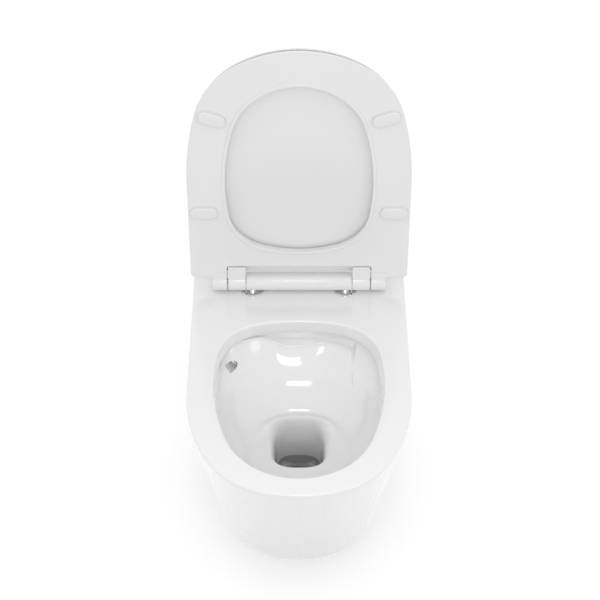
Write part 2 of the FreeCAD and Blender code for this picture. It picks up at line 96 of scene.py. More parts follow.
class ToiletPanSettings(bpy.types.PropertyGroup):
    mouth_round: length("Mouth rounding", "Radius of the glazed edge round the bowl's mouth",
                        0.0028)
    wall_height: length("Inner wall", "Height of the upright wall under the rim", 0.024)
    wall_draft: length("Wall draft", "How far the inner wall leans in at the sides", 0.005)
    undercut: length("Undercut", "How far the bowl steps back under the inner wall", 0.004)
    columns: IntProperty(name="Columns", description="Grid columns round the bowl",
                         default=400, min=64, max=720)


class ToiletSeatSettings(bpy.types.PropertyGroup):
    under_round: length("Lower rounding", "Radius of the seat's lower outer edge", 0.0018)
    top_round: length("Upper rounding", "Radius of the seat's upper outer edge", 0.0035)
    bead_width: length("Bead width", "Width of the bead round the opening", 0.0055)
    bead_height: length("Bead height", "How far the bead stands off the seat's underside", 0.0016)
    lid_crown: length("Lid crown", "Rise of the lid's middle above its edge", 0.0016)
    pad_crown: length("Pad crown", "Rise of each pad's face in its middle", 0.0003)


class ToiletHingeSettings(bpy.types.PropertyGroup):
    end_round: length("End rounding", "Radius of the hinge bar's ends", 0.0008)
    disc_round: length("Disc rounding", "Radius of the chrome disc's upper edge", 0.0009)


class ToiletFinishSettings(bpy.types.PropertyGroup):
    glaze: colour("Glaze", "Colour of the glazed ware", (0.84, 0.84, 0.84))
    moulding: colour("Moulding", "Colour of the seat, the lid and the hinge bar",
                     (0.79, 0.79, 0.79))
    pad: colour("Pads", "Colour of the soft pads", (0.78, 0.78, 0.78))


class ToiletStageSettings(bpy.types.PropertyGroup):
    floor_drop: length("Floor", "Distance of the floor under the stud line", 0.32)
    world_level: FloatProperty(name="Room light", description="Level of the even light all round",
                               default=0.9, min=0.0, max=2.0)
    background: share("Background", "How white the camera sees the floor and the backdrop", 1.0)


# ------------------------------------------------------------------ lines in the plane
def arc_chain(radii, headings, total, count, inset=0.0):
    """Points and outward normals of a run of tangent arcs, evenly spaced along it.

    The heading a turns from 0 to total. On an arc of radius r that starts at heading a0 the
    point moves r (sin a - sin a0) across and r (cos a0 - cos a) on; the normal is (sin a, -cos a).
    """
    stops = np.radians(np.r_[0.0, headings, total])
    r = np.asarray(radii, float) - inset
    run = np.r_[0.0, np.cumsum(r * np.diff(stops))]
    x0 = np.r_[0.0, np.cumsum(r * np.diff(np.sin(stops)))]
    y0 = inset - np.r_[0.0, np.cumsum(r * np.diff(np.cos(stops)))]
    s = np.linspace(0.0, run[-1], count)
    k = np.clip(np.searchsorted(run, s, side="right") - 1, 0, len(r) - 1)
    a = stops[k] + (s - run[k]) / r[k]
    x = x0[k] + r[k] * (np.sin(a) - np.sin(stops[k]))
    y = y0[k] + r[k] * (np.cos(stops[k]) - np.cos(a))
    return np.stack([x, y], 1), np.stack([np.sin(a), -np.cos(a)], 1)


def corner_arc(corner, before, after, radius, count):
    """Points and normals of an arc that rounds a corner between two unit directions.

    The arc's centre lies on the bisector; its points turn evenly between the two feet.
    """
    p, a, b = (np.asarray(v, float) for v in (corner, before, after))
    turn = a[0] * b[1] - a[1] * b[0]
    angle = math.atan2(turn, float(a @ b))
    back = radius * math.tan(abs(angle) / 2)
    side = math.copysign(1.0, angle)
    centre = p - a * back + side * radius * np.array([-a[1], a[0]])
    start = math.atan2(-side * a[0], side * a[1])
    w = start + angle * np.linspace(0.0, 1.0, count)
    ring = np.stack([np.cos(w), np.sin(w)], 1)
    return centre + radius * ring, ring * side


def straight(p, q, count):
    """Points between p and q, both ends left out, and their normals to the right of the way."""
    p, q = np.asarray(p, float), np.asarray(q, float)
    t = np.linspace(0.0, 1.0, count + 2)[1:-1, None]
    d = (q - p) / np.linalg.norm(q - p)
    return p + t * (q - p), np.repeat([[d[1], -d[0]]], count, 0)


def joined(*runs):
    """Several (points, normals) runs end to end."""
    return tuple(np.concatenate(part) for part in zip(*runs))


def mirrored(line):
    """The half line from the middle and its mirror image, as one closed loop."""
    points, normals = line
    keep = slice(-2, 0, -1)
    flip = np.array([-1.0, 1.0])
    return (np.concatenate([points, points[keep] * flip]),
            np.concatenate([normals, normals[keep] * flip]))


def circle(radius, count, centre=(0.0, 0.0)):
    """Evenly spaced points of a circle and their outward normals."""
    a = np.arange(count) * 2 * np.pi / count
    ring = np.stack([np.cos(a), np.sin(a)], 1)
    return ring * radius + np.asarray(centre, float), ring


# ------------------------------------------------------------------ surfaces
def grid_faces(rows, cols, wrap=False):
    """Four-sided faces of a grid whose columns close on themselves; wrap closes the rows too."""
    i = np.arange(rows if wrap else rows - 1)[:, None]
    j = np.arange(cols)[None, :]
    k, m = (i + 1) % rows, (j + 1) % cols
    return np.stack([i * cols + j, i * cols + m, k * cols + m, k * cols + j], -1).reshape(-1, 4)


def fan_faces(first, cols, hub, flip=False):
    """Triangles from a ring of points to one hub point."""
    j = np.arange(cols)
    a, b = first + j, first + (j + 1) % cols
    return np.stack([b, a, np.full(cols, hub)] if flip else [a, b, np.full(cols, hub)], -1)


def ring_rows(points, normals, offsets, heights):
    """Rings of one outline: each row is the outline moved out by its offset, at its height.

    Offsets and heights are one value a row, or one for every point of every row.
    """
    d, h = (v[:, None] if v.ndim == 1 else v
            for v in (np.asarray(offsets, float), np.asarray(heights, float)))
    flat = points[None] + normals[None] * d[..., None]
    return np.concatenate([flat, np.broadcast_to(h[..., None], flat.shape[:2] + (1,))], -1)


def rounding(radius, steps, turn=np.pi / 2):
    """Offset and rise of an arc that turns from a flat face into a side.

    The arc's angle b runs from 0 to turn; the offset is radius (sin b - tan(turn / 2)) and the
    rise radius (1 - cos b). With one turn for each point, each column gets its own arc.
    """
    b = np.multiply.outer(np.linspace(0.0, 1.0, steps), turn)
    return radius * (np.sin(b) - np.tan(np.asarray(turn) / 2)), radius * (1.0 - np.cos(b))


def shell(rows, wrap=False, hubs=()):
    """Vertices and faces of a closed surface from its rings, with a hub point at each open end."""
    n, cols = rows.shape[:2]
    verts = [rows.reshape(-1, 3)]
    faces = [grid_faces(n, cols, wrap).tolist()]
    for k, hub in enumerate(hubs):
        verts.append(np.asarray(hub, float)[None])
        faces.append(fan_faces((n - 1) * cols * k, cols, n * cols + k, flip=k == 0).tolist())
    return np.concatenate(verts), [f for part in faces for f in part]


def from_seat_frame(points):
    """Shut seat frame (x, s, h) to the row frame, raised about the hinge axis, in metres."""
    x, s, h = points[:, 0], points[:, 1], points[:, 2]
    c, n = math.cos(RAISED), math.sin(RAISED)
    return (np.stack([x, -s * c + h * n, s * n + h * c], 1) + AXIS) / 1000.0


def from_pan_frame(points):
    """Pan frame (x, u back from the front, z from the rim) to the row frame, in metres."""
    return (points + np.array([0.0, -DEPTH, RIM_Z])) / 1000.0


def from_row_frame(points):
    """Row frame in millimetres to metres."""
    return points / 1000.0


def finish_mesh(mesh, angle):
    """Merges doubles, turns the faces outwards and smooths all but the true edges."""
    bm = bmesh.new()
    bm.from_mesh(mesh)
    bmesh.ops.remove_doubles(bm, verts=bm.verts, dist=1e-6)
    bmesh.ops.dissolve_degenerate(bm, edges=bm.edges, dist=1e-7)
    bmesh.ops.recalc_face_normals(bm, faces=bm.faces)
    bm.to_mesh(mesh)
    bm.free()
    mesh.shade_smooth()
    mesh.set_sharp_from_angle(angle=math.radians(angle))


def piece(name, parts, place, angle=40.0):
    """A mesh object at the origin from (vertices, faces) parts, placed in the row frame."""
    mesh = bpy.data.meshes.new(name)
    verts, faces, base = [], [], 0
    for v, f in parts:
        verts.append(place(v))
        faces += [[i + base for i in face] for face in f]
        base += len(v)
    mesh.from_pydata(np.concatenate(verts).tolist(), [], faces)
    finish_mesh(mesh, angle)
    obj = bpy.data.objects.new(name, mesh)
    bpy.context.scene.collection.objects.link(obj)
    return obj


def cut_away(base, tool, angle=40.0):
    """Cuts a closed solid out of the first one, then removes it."""
    mod = base.modifiers.new("solid", "BOOLEAN")
    mod.operation, mod.object, mod.solver = "DIFFERENCE", tool, "EXACT"
    graph = bpy.context.evaluated_depsgraph_get()
    mesh = bpy.data.meshes.new_from_object(base.evaluated_get(graph))
    base.modifiers.clear()
    old, base.data = base.data, mesh
    bpy.data.meshes.remove(old)
    bpy.data.objects.remove(tool)
    finish_mesh(mesh, angle)


def dress(obj, body, slot, finish, *nodes):
    """Gives a piece its body, its finish and the solids it stands for."""
    obj.data.materials.clear()
    obj.data.materials.append(finish)
    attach(obj, body)
    if nodes:
        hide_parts(*nodes)
    return obj


# ------------------------------------------------------------------ seat and lid
SEAT_ARCS = ((194.5, 140.5, 532.7), (30.4, 75.6))
SEAT_FRONT, SEAT_REAR = 448.4, 15.0
SEAT_UNDER, SEAT_TOP = -11.0, 3.0
SEAT_DRAFT = 8.0
HOLE_ARCS = ((107.5, 381.8, 76.9, 198.7), (74.4, 99.8, 162.7))
HOLE_FRONT = 385.0
NOTCH_HALF, NOTCH_DEEP = 119.0, 38.5
LID_UNDER, LID_TOP = 5.6, 18.6
LID_INSET, LID_DRAFT, LID_REAR = 5.2, 8.0, 17.2
KNUCKLE_R = 15.6
SEAT_KNUCKLE, LID_KNUCKLE = (119.6, 144.4), (88.4, 117.4)


def plate_half(inset, rear, corner):
    """Half outline of the seat or lid from its front: three arcs, straight side, rear corner."""
    points, normals = arc_chain(*SEAT_ARCS, 90.0, 120, inset)
    points = np.stack([points[:, 0], SEAT_FRONT - points[:, 1]], 1)
    normals = normals * np.array([1.0, -1.0])
    wide = points[-1, 0]
    side = np.linspace(0.0, 1.0, 14)[1:-1, None]
    foot = np.array([wide, rear + corner])
    line = points[-1] + side * (foot - points[-1])
    bend = np.linspace(0.0, np.pi / 2, 12)
    ring = np.stack([np.cos(bend), -np.sin(bend)], 1)
    turn = np.array([wide - corner, rear + corner]) + corner * ring
    return joined((points, normals), (line, np.tile([1.0, 0.0], (len(line), 1))), (turn, ring))


def rear_edge(x_from, x_to, s, count):
    """Points of the straight rear edge and their normals, which face the wall."""
    x = np.linspace(x_from, x_to, count + 1)[1:]
    return np.stack([x, np.full(count, s)], 1), np.tile([0.0, -1.0], (count, 1))


def seat_outline(inset, rear):
    """Closed outline of the seat with the notch for the lid's knuckles in its rear edge."""
    body = plate_half(inset, rear, 9.0)
    wide = body[0][-1, 0]
    out_r, in_r = 3.6, 5.0
    lip = corner_arc((NOTCH_HALF, rear), (-1, 0), (0, 1), out_r, 6)
    pit = corner_arc((NOTCH_HALF, NOTCH_DEEP), (0, 1), (-1, 0), in_r, 8)
    edge = rear_edge(wide, NOTCH_HALF + out_r, rear, 9)
    edge = edge[0][:-1], edge[1][:-1]
    wall = straight(lip[0][-1], pit[0][0], 3)
    notch = rear_edge(NOTCH_HALF - in_r, 0.0, NOTCH_DEEP, 26)
    lip = lip[0], np.stack([np.sin(np.linspace(0, np.pi / 2, 6)) * -1.0,
                            -np.cos(np.linspace(0, np.pi / 2, 6))], 1)
    pit = pit[0], np.stack([-np.cos(np.linspace(0, np.pi / 2, 8)),
                            -np.sin(np.linspace(0, np.pi / 2, 8))], 1)
    wall = wall[0], np.tile([-1.0, 0.0], (3, 1))
    return mirrored(joined(body, edge, lip, wall, pit, notch))


def opening():
    """The closed outline of the seat's opening and its normals, which face away from the middle."""
    half, normals = arc_chain(*HOLE_ARCS, 180.0, 170)
    half[-1, 0] = 0.0
    half = np.stack([half[:, 0], HOLE_FRONT - half[:, 1]], 1)
    return mirrored((half, normals * np.array([1.0, -1.0])))


def knuckle(x0, x1, reach, low, high, round_near, round_far):
    """Hinge knuckle: a disc about the axis with a flat tab, carried along x, its ends rounded.

    The profile is the circle from where it leaves the tab's lower face round the back to where
    it meets the upper face; each end is drawn in by a quarter round.
    """
    a0 = math.atan2(low, math.sqrt(KNUCKLE_R ** 2 - low ** 2))
    a1 = math.atan2(high, math.sqrt(KNUCKLE_R ** 2 - high ** 2))
    w = np.linspace(a0, a1 - 2 * np.pi, 96)
    ring = np.stack([np.cos(w), np.sin(w)], 1)
    over = straight(ring[-1] * KNUCKLE_R, (reach, high), 4)[0]
    under = straight((reach, low), ring[0] * KNUCKLE_R, 4)[0]
    points, normals = joined(
        (ring * KNUCKLE_R, ring), (over, np.tile([0.0, 1.0], (4, 1))),
        (np.array([[reach, high], [reach, low]]), np.array([[1.0, 1.0], [1.0, -1.0]])),
        (under, np.tile([0.0, -1.0], (4, 1))))
    near, far = rounding(round_near, 7), rounding(round_far, 7)
    rows = ring_rows(points, normals, np.r_[near[0], far[0][::-1]],
                     np.r_[x0 + near[1], x1 - far[1][::-1]])
    return shell(rows[..., [2, 0, 1]], hubs=((x0, 0, 0), (x1, 0, 0)))


def flipped(part):
    """The same part on the other side of the middle."""
    verts, faces = part
    return verts * np.array([-1.0, 1.0, 1.0]), [f[::-1] for f in faces]


def side_rows(lower, upper, low, high, low_round, high_round):
    """Rings up a leaning side between two outlines, rounded into the faces at both ends.

    The lean of each column is the angle whose tangent is the outlines' distance over the height.
    """
    lean = np.arctan(np.sum((lower[0] - upper[0]) * lower[1], 1) / (high - low))
    foot = rounding(low_round, 7, np.pi / 2 + lean)
    head = rounding(high_round, 8, np.pi / 2 - lean)
    return np.concatenate([ring_rows(*lower, foot[0][:1] - 0.6, low + foot[1][:1]),
                           ring_rows(*lower, foot[0], low + foot[1]),
                           ring_rows(*upper, head[0][::-1], high - head[1][::-1]),
                           ring_rows(*upper, head[0][:1] - 0.6, high - head[1][:1])])


def web(outer, inner):
    """Triangles that fill the flat face between two closed loops, corners counted end to end."""
    return tessellate_polygon([[Vector((*p[:2], 0.0)) for p in loop] for loop in (outer, inner)])


def seat_plate(sizes):
    """Ring between the seat's outline and its opening: two rounded sides and two flat faces."""
    bead_w, bead_h = sizes.bead_width * 1000, sizes.bead_height * 1000
    top_r, low_r = sizes.top_round * 1000, sizes.under_round * 1000
    hole = opening()
    crest = SEAT_UNDER - bead_h
    head = rounding(top_r, 8)
    inner, outer = rounding(1.0, 6), rounding(1.1, 6)
    sides = side_rows(seat_outline(0.0, SEAT_REAR), seat_outline(SEAT_DRAFT, SEAT_REAR + 1.0),
                      SEAT_UNDER, SEAT_TOP, low_r, top_r)
    rows = np.concatenate([
        ring_rows(*hole, np.r_[2.6 - head[0][0], 2.0 - head[0]],
                  np.r_[SEAT_TOP, SEAT_TOP - head[1]]),
        ring_rows(*hole, -inner[0][::-1], crest + inner[1][::-1]),
        ring_rows(*hole, bead_w + outer[0], crest + outer[1]),
        ring_rows(*hole, [bead_w + 0.15, bead_w + 0.6, bead_w + 1.2],
                  [SEAT_UNDER - 0.2, SEAT_UNDER, SEAT_UNDER]),
    ])
    (n, cols), (m, across) = sides.shape[:2], rows.shape[:2]
    base = n * cols
    faces = grid_faces(n, cols).tolist() + (grid_faces(m, across) + base).tolist()
    for first, second, loop, ring in ((0, base + (m - 1) * across, sides[0], rows[-1]),
                                      ((n - 1) * cols, base, sides[-1], rows[0])):
        faces += [[first + k if k < cols else second + k - cols for k in corners]
                  for corners in web(loop, ring)]
    return np.concatenate([sides.reshape(-1, 3), rows.reshape(-1, 3)]), faces


def lid_plate(sizes):
    """Closed plate: flat underside, leaning rounded sides and a low crown over the top.

    The crown rises as 1 - (1 - f) squared, where f runs from the edge to the middle.
    """
    def outline(inset, rear):
        body = plate_half(inset, rear, 9.0)
        return mirrored(joined(body, rear_edge(body[0][-1, 0], 0.0, rear, 40)))
    lower = outline(LID_INSET, LID_REAR)
    upper = outline(LID_INSET + LID_DRAFT, LID_REAR + 1.0)
    sides = side_rows(lower, upper, LID_UNDER, LID_TOP, 1.4, 4.0)
    middle = np.array([0.0, 225.0, LID_TOP])
    f = np.linspace(0.0, 1.0, 18)[1:-1, None, None]
    crown = sides[-1] * (1 - f) + middle * f
    crown[..., 2] = LID_TOP + sizes.lid_crown * 1000 * (1 - (1 - f[..., 0]) ** 2)
    hubs = ((0.0, 225.0, LID_UNDER), (0.0, 225.0, LID_TOP + sizes.lid_crown * 1000))
    return shell(np.concatenate([sides, crown]), hubs=hubs)


def pad(across, forward, turn, long, wide, base, face, edge, crown):
    """Soft oblong pad: two half circles and two straights, a rounded edge and a slight crown."""
    r, reach = wide / 2, (long - wide) / 2
    w = np.linspace(-np.pi / 2, np.pi / 2, 22)
    cap = np.stack([np.cos(w), np.sin(w)], 1)
    left = cap * [-1.0, 1.0]
    run = np.linspace(-reach, reach, 8)[1:-1]
    points, normals = joined(
        (cap * r + [reach, 0.0], cap),
        (np.stack([run[::-1], np.full(6, r)], 1), np.tile([0.0, 1.0], (6, 1))),
        (left[::-1] * r - [reach, 0.0], left[::-1]),
        (np.stack([run, np.full(6, -r)], 1), np.tile([0.0, -1.0], (6, 1))))
    up = 1.0 if face > base else -1.0
    over = rounding(edge, 8)
    rows = ring_rows(points, normals, np.r_[-0.3, 0.0, over[0][::-1]],
                     np.r_[base, base + 0.3 * up, face - up * over[1][::-1]])
    f = np.linspace(0.0, 1.0, 6)[1:-1, None, None]
    top = rows[-1] * [1.0, 1.0, 1.0] * (1 - f)
    top[..., 2] = face + up * crown * (1 - (1 - f[..., 0]) ** 2)
    verts, faces = shell(np.concatenate([rows, top]),
                         hubs=((0, 0, base), (0, 0, face + up * crown)))
    c, s = math.cos(math.radians(turn)), math.sin(math.radians(turn))
    x, y = verts[:, 0] * c - verts[:, 1] * s + across, verts[:, 0] * s + verts[:, 1] * c + forward
    return np.stack([x, y, verts[:, 2]], 1), faces


# ------------------------------------------------------------------ round parts
def turned(along, radius, count, hubs=True):
    """Surface of revolution about z: a ring of each radius at each place along the axis.

    Without hubs the profile is a closed one and its last ring meets its first.
    """
    points, normals = circle(1.0, count)
    along, radius = np.asarray(along, float), np.asarray(radius, float)
    rows = ring_rows(points, normals, radius - 1.0, along)
    if hubs:
        return shell(rows, hubs=((0, 0, along[0]), (0, 0, along[-1])))
    return shell(rows, wrap=True)


def lying(part, centre):
    """A part turned about z laid along x, its origin moved to a centre."""
    verts, faces = part
    return verts[:, [2, 0, 1]] + np.asarray(centre, float), faces


def standing(part, centre):
    """A part turned about z, its origin moved to a centre."""
    verts, faces = part
    return verts + np.asarray(centre, float), faces


def hinge_tube(half, bore, end):
    """Profile of the hinge bar: rounded outer ends, square bore."""
    off, rise = rounding(end, 6)
    along = np.r_[-half, -half + rise, half - rise[::-1], half]
    radius = np.r_[bore, KNUCKLE_R + off, KNUCKLE_R + off[::-1], bore]
    return turned(along, radius, 160, hubs=False)


def disc(sizes):
    """Chrome disc with a rounded upper edge and a slightly dished face."""
    off, rise = rounding(sizes.disc_round * 1000, 8)
    outer, low, high = 20.0, 0.4, 2.0
    radius = np.r_[4.0, outer - 0.2, outer, (outer + off)[::-1], 15.0, 10.5, 4.0]
    along = np.r_[low, low, low + 0.2, (high - rise)[::-1], high - 0.05, high - 0.15, high - 0.15]
    return turned(along, radius, 120, hubs=False)


# ------------------------------------------------------------------ the pan
MOUTH_ARCS, MOUTH_FRONT = ((118.8, 356.8, 83.0, 284.6), (68.8, 99.7, 166.2)), 37.0
# bowl sections: height, front, back, half width, squareness of the oval
BOWL = np.array([
    (-22, 31, 383, 141, 2.35), (-46, 33, 378, 139, 2.35), (-58, 36, 359.6, 135.5, 2.35),
    (-64.5, 39, 348.1, 133, 2.35), (-71, 42.5, 339.6, 130.3, 2.35), (-80, 48, 327.4, 125, 2.4),
    (-92, 59, 313.8, 116, 2.4), (-106, 80, 296.5, 101, 2.4), (-118, 108, 282.2, 84, 2.45),
    (-127, 140, 278.6, 67, 2.5), (-133, 174, 276, 52, 2.6)
])
WELL = np.array([
    (-124, 182, 274, 40, 4.0), (-150, 184, 272, 40, 3.2), (-168, 188, 270, 38.5, 3.3),
    (-205, 193, 272, 37.5, 3.0), (-236, 200, 276, 37, 2.6)
])
# lip of the flush ledge: across, back, height
LIP = np.array([
    (-104, 352, -26), (-84, 358, -26), (-62, 366, -29), (-42, 366, -37), (-23, 362, -42),
    (0, 362, -43), (43, 368, -43), (68, 360, -43), (80, 352, -43), (90, 345, -43)
])
# the solid's own bowl and jets, whose faces the worked bowl takes the place of
CAD_BOWL = np.array([
    (-22, 31, 383, 141, 2.35), (-46, 33, 379, 139, 2.35), (-70, 42, 362, 131, 2.35),
    (-90, 57, 333, 118, 2.4), (-106, 76, 307, 104, 2.4), (-118, 94, 290, 91, 2.45),
    (-130, 112, 278, 78, 2.5), (-150, 158, 266, 51, 2.8)
])
CAD_JETS = np.array([((-50.0, 404.0, -57.0), (-115.0, 314.0, -57.0))])
JET_R, CHAMBER_FRONT = 8.0, 392.0
# cutter of the left flush outlet: start, end, radius
JETS = (((-102.0, 345.0, -60.0), (-115.0, 316.0, -50.0), 8.0),)
MIDDLE = 207.0


def between(table, z):
    """Columns of a table of sections at heights z: cubics through them with even slopes.

    On each span the value is the Hermite cubic whose end slopes are the mean slopes there.
    """
    h, v = table[::-1, 0], table[::-1, 1:]
    slope = np.gradient(v, h, axis=0)
    z = np.clip(z, h[0], h[-1])
    k = np.clip(np.searchsorted(h, z) - 1, 0, len(h) - 2)
    d = (h[k + 1] - h[k])[..., None]
    t = (z - h[k])[..., None] / d
    value = ((1 + 2 * t) * (1 - t) ** 2 * v[k] + t * (1 - t) ** 2 * d * slope[k]
             + t * t * (3 - 2 * t) * v[k + 1] - t * t * (1 - t) * d * slope[k + 1])
    return np.moveaxis(value, -1, 0)


def section(table, z, way):
    """Middle and reach of the sections at heights z in directions way, grids of the same shape.

    The reach of a squared oval of half width a, half depth b and power p in the direction w is
    (|cos w / a|^p + |sin w / b|^p)^(-1/p).
    """
    front, back, half, power = between(table, z)
    sides = (np.abs(np.cos(way) / half) ** power
             + np.abs(2 * np.sin(way) / (back - front)) ** power)
    return (front + back) / 2, sides ** (-1 / power)


def smooth(low, high, value):
    """0 below low, 1 above high, and 3 t^2 - 2 t^3 between them."""
    t = np.clip((value - low) / (high - low), 0.0, 1.0)
    return t * t * (3 - 2 * t)


def polar(middle, reach, way, z):
    """Points at a reach in each direction from a middle line."""
    return np.stack(np.broadcast_arrays(reach * np.cos(way), middle + reach * np.sin(way), z), -1)


def bowl_rings(sizes):
    """Rings of the glazed inside: rounded edge, upright wall, undercut, ledge, bowl and well.

    Every column keeps one direction w from the middle of the bowl. Down each column the reach
    passes from the mouth's outline to the ovals of BOWL, and round a bend into those of WELL.
    Where the flush ledge stands the column turns in at the lip's height, round the lip, and its
    face falls back into the bowl as 1 - (t + 0.34 t (t - 1)) of its stand-off, t being the way down.
    """
    r, step, foot = sizes.mouth_round * 1000, sizes.undercut * 1000, -sizes.wall_height * 1000
    half, normals = arc_chain(*MOUTH_ARCS, 180.0, 1500)
    half[-1, 0] = 0.0
    mouth, out = mirrored((half + [0.0, MOUTH_FRONT], normals))
    # columns stand closer together at the ledge's right end and at the left outlet
    turn = np.unwrap(np.arctan2(mouth[:, 1] - MIDDLE, mouth[:, 0]))
    fine = np.linspace(0.0, 360.0, 7201)
    crowd = 1.0 + 5.0 * (abs(fine - 57.0) < 4.5) + 2.0 * (abs(fine - 134.0) < 9.0)
    share = np.cumsum(crowd) / crowd.sum()
    ask = np.radians(np.interp(np.arange(sizes.columns) / sizes.columns, share, fine))
    lay = [np.interp(ask, turn, c, period=2 * np.pi) for c in (*mouth.T, *out.T)]
    mouth, out = np.stack(lay[:2], 1), np.stack(lay[2:], 1)
    out /= np.linalg.norm(out, axis=1, keepdims=True)
    top = mouth + out * step
    way = np.arctan2(top[:, 1] - MIDDLE, top[:, 0])[None]
    start = np.hypot(top[:, 0], top[:, 1] - MIDDLE)[None]
    lean = sizes.wall_draft * 1000 * (0.25 + 0.75 * np.cos(way) ** 2)

    def near_mouth(offset, z):
        offset = offset + 0 * lean
        return ring_rows(mouth, out, offset, np.reshape(z, (-1, 1)) + 0 * offset)
    edge, lip, nook = rounding(r, 7), rounding(1.5, 5), rounding(2.0, 5)
    down = np.linspace(0.0, 1.0, 6)[1:, None]
    upper = [near_mouth(-edge[0][:, None], -edge[1]),
             near_mouth(-lean * down, -r + (foot + 1.5 + r) * down),
             near_mouth(-lean - lip[0][::-1, None], foot + lip[1][::-1]),
             near_mouth(step + nook[0][:, None], foot - nook[1])]

    def plain(z):
        """Bowl without its ledge: from the undercut's outline into the ovals."""
        middle, oval = section(BOWL, z, way)
        mix = 1 - smooth(-70.0, foot, z)
        return MIDDLE * (1 - mix) + middle * mix, start * (1 - mix) + oval * mix

    # ledge: mask, lip reach and lip height of every column
    spot = np.stack([np.arctan2(LIP[:, 1] - MIDDLE, LIP[:, 0]),
                     np.hypot(LIP[:, 0], LIP[:, 1] - MIDDLE), LIP[:, 2]])
    spot = spot[:, np.argsort(spot[0])]
    degrees = np.degrees(way)
    left = 1 - smooth(126.0, 136.0, degrees)
    lip_reach, lip_z = between(spot.T[::-1], way)
    begin, low = foot - 2.0, -80.0

    k = np.linspace(0.0, 1.0, 5)[1:, None]
    z_recess = begin + (lip_z - begin) * k
    m_recess, r_recess = plain(z_recess)
    shelf = np.linspace(0.0, 1.0, 5)[1:, None]
    m_shelf, r_wall = plain(lip_z + 0 * shelf)
    turn = rounding(2.5, 6)
    r_shelf = r_wall * (1 - shelf) + (lip_reach + 2.5) * shelf
    r_turn = lip_reach - turn[0][1:, None]
    z_turn = lip_z - turn[1][1:, None]
    t = np.linspace(0.0, 1.0, 31)[1:, None]
    z_face = lip_z - 2.5 + (low - lip_z + 2.5) * t
    # the face falls almost straight from the lip to the plain bowl, a little steeper at the top
    slide = t + 0.34 * t * (t - 1)
    m_lip, _ = plain(lip_z + 0 * t)
    m_merge, r_merge = plain(low + 0 * z_face)
    m_face = m_lip + (m_merge - m_lip) * slide
    r_face = lip_reach + (r_merge - lip_reach) * slide
    z_led = np.concatenate([z_recess, lip_z + 0 * shelf, z_turn, z_face])
    r_led = np.concatenate([r_recess, r_shelf, r_turn + 0 * lean, r_face])
    m_led = np.concatenate([m_recess, m_shelf, m_shelf[:1] + 0 * r_turn, m_face])
    z_all = np.linspace(begin, low, len(z_led) + 1)[1:, None] + 0 * way
    m_pl, r_pl = plain(z_all)
    # the right end is square to x: its direction from the middle turns with the depth
    end = np.degrees(np.arctan2(np.interp(-z_led, [20, 43, 70, 92], [150, 144, 120, 98]), 86.0))
    mask = smooth(end - 0.35, end + 0.35, degrees) * left
    z_mid = z_all * (1 - mask) + z_led * mask
    ledge_rows = polar(m_pl * (1 - mask) + m_led * mask,
                       r_pl * (1 - mask) + r_led * mask, way, z_mid)

    # from the foot of the ledge to where each column turns down into the well
    back = smooth(0.0, 1.0, np.sin(way))
    brink = -133.0 + 10.0 * back
    t = np.linspace(0.0, 1.0, 22)[1:, None]
    z_low = low + (brink - low) * t
    m_low, r_low = section(BOWL, z_low, way + 0 * t)
    low_rows = polar(m_low, r_low, way, z_low)

    # bend: a quadratic curve from the brink through the corner to the well's wall
    deep = brink - 26.0
    m_well, r_well = section(WELL, brink + 0 * way, way)
    corner = polar(m_well, r_well, way, brink - 4.0)
    m_deep, r_deep = section(WELL, deep, way)
    end = polar(m_deep, r_deep, way, deep)
    t = np.linspace(0.0, 1.0, 11)[1:, None, None]
    bend = (1 - t) ** 2 * low_rows[-1:] + 2 * t * (1 - t) * corner + t * t * end
    t = np.linspace(0.0, 1.0, 16)[1:, None]
    z_well = deep + (-236.0 - deep) * t
    m_w, r_w = section(WELL, z_well, way + 0 * t)
    return np.concatenate(upper + [ledge_rows, low_rows, bend, polar(m_w, r_w, way, z_well)])


def zipped(low_way, low_ids, high_way, high_ids):
    """Triangles that close the strip between two rings whose points differ in number.

    Both rings are taken in order of direction. Each edge of one ring is joined to the point of
    the other ring that comes last before the edge's end.
    """
    a, b = np.argsort(low_way), np.argsort(high_way)
    la, hb = low_way[a], high_way[b]
    ia, ib = low_ids[a], high_ids[b]
    na, nb = np.roll(ia, -1), np.roll(ib, -1)
    ka = np.searchsorted(hb, np.roll(la, -1), "right") - 1
    kb = np.searchsorted(la, np.roll(hb, -1), "left") - 1
    return np.concatenate([np.stack([ia, na, ib[ka]], 1), np.stack([nb, ib, ia[kb]], 1)])


def node_solid(name):
    """Merged vertices of a CAD node in the pan frame and its triangles."""
    mesh = frame["nodes"][name].data
    points = np.empty(len(mesh.vertices) * 3, np.float32)
    corner = np.empty(len(mesh.loops), np.int32)
    mesh.vertices.foreach_get("co", points)
    mesh.loops.foreach_get("vertex_index", corner)
    points = points.reshape(-1, 3).astype(float) * 1000 - [0.0, -DEPTH, RIM_Z]
    _, first, back = np.unique(np.round(points, 3), axis=0, return_index=True, return_inverse=True)
    tris = back.reshape(-1)[corner].reshape(-1, 3)
    whole = ((tris[:, 0] != tris[:, 1]) & (tris[:, 1] != tris[:, 2]) & (tris[:, 2] != tris[:, 0]))
    return points[first], tris[whole]


